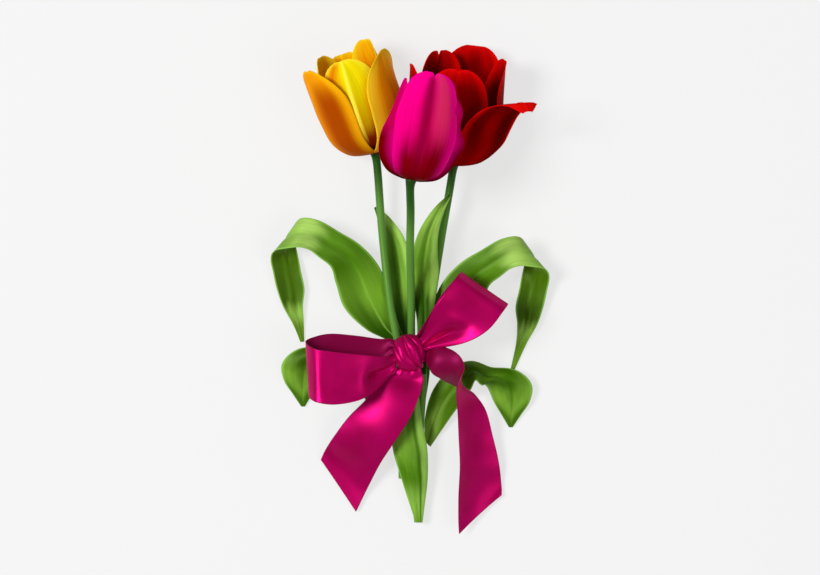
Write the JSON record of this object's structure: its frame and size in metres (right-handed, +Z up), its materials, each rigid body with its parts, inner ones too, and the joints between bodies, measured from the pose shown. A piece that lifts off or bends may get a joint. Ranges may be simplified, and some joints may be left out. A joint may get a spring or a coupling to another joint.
{
  "type": "bunch of tulips",
  "caption": "Small bunch of cut tulips with long leaves, tied with a satin ribbon in a bow and lying on its back, heads at one end and cut stems at the other.",
  "frame": {"origin": "on the surface the bunch lies on, under the middle of its bounding box", "axes": "+Y along the stems from the cut ends to the flowers, +Z up from the surface, +X to the right as seen from above with the flowers at the top"},
  "size_m": [0.1802, 0.3194, 0.0914],
  "materials": {
    "yellow_petal": "satin petal, golden orange with yellow edges",
    "magenta_petal": "satin petal, bright pink-magenta",
    "red_petal": "satin petal, deep red",
    "stem_green": "matt green stem",
    "leaf_green": "soft satin leaf with fine lengthwise veins",
    "pistil_green": "matt pale green",
    "stamen_dark": "matt, almost black",
    "ribbon_satin": "glossy woven satin, magenta"
  },
  "bodies": {
    "root": {"yellow_stem": "stem_green", "yellow_outer_tepal_1": "yellow_petal", "yellow_outer_tepal_2": "yellow_petal", "yellow_outer_tepal_3": "yellow_petal", "yellow_inner_tepal_1": "yellow_petal", "yellow_inner_tepal_2": "yellow_petal", "yellow_inner_tepal_3": "yellow_petal", "yellow_pistil": "pistil_green", "yellow_stamen_1": "stamen_dark", "yellow_stamen_2": "stamen_dark", "yellow_stamen_3": "stamen_dark", "yellow_stamen_4": "stamen_dark", "yellow_stamen_5": "stamen_dark", "yellow_stamen_6": "stamen_dark", "magenta_stem": "stem_green", "magenta_outer_tepal_1": "magenta_petal", "magenta_outer_tepal_2": "magenta_petal", "magenta_outer_tepal_3": "magenta_petal", "magenta_inner_tepal_1": "magenta_petal", "magenta_inner_tepal_2": "magenta_petal", "magenta_inner_tepal_3": "magenta_petal", "magenta_pistil": "pistil_green", "magenta_stamen_1": "stamen_dark", "magenta_stamen_2": "stamen_dark", "magenta_stamen_3": "stamen_dark", "magenta_stamen_4": "stamen_dark", "magenta_stamen_5": "stamen_dark", "magenta_stamen_6": "stamen_dark", "red_stem": "stem_green", "red_outer_tepal_1": "red_petal", "red_outer_tepal_2": "red_petal", "red_outer_tepal_3": "red_petal", "red_inner_tepal_1": "red_petal", "red_inner_tepal_2": "red_petal", "red_inner_tepal_3": "red_petal", "red_pistil": "pistil_green", "red_stamen_1": "stamen_dark", "red_stamen_2": "stamen_dark", "red_stamen_3": "stamen_dark", "red_stamen_4": "stamen_dark", "red_stamen_5": "stamen_dark", "red_stamen_6": "stamen_dark", "left_arching_leaf": "leaf_green", "right_arching_leaf": "leaf_green", "left_upright_leaf": "leaf_green", "right_upright_leaf": "leaf_green", "sheath_leaf": "leaf_green", "low_right_leaf": "leaf_green", "low_left_leaf": "leaf_green", "ribbon_band": "ribbon_satin", "bow_knot": "ribbon_satin", "bow_loop_left": "ribbon_satin", "bow_loop_right": "ribbon_satin", "ribbon_tail_left": "ribbon_satin", "ribbon_tail_right": "ribbon_satin"}
  },
  "joints": []
}
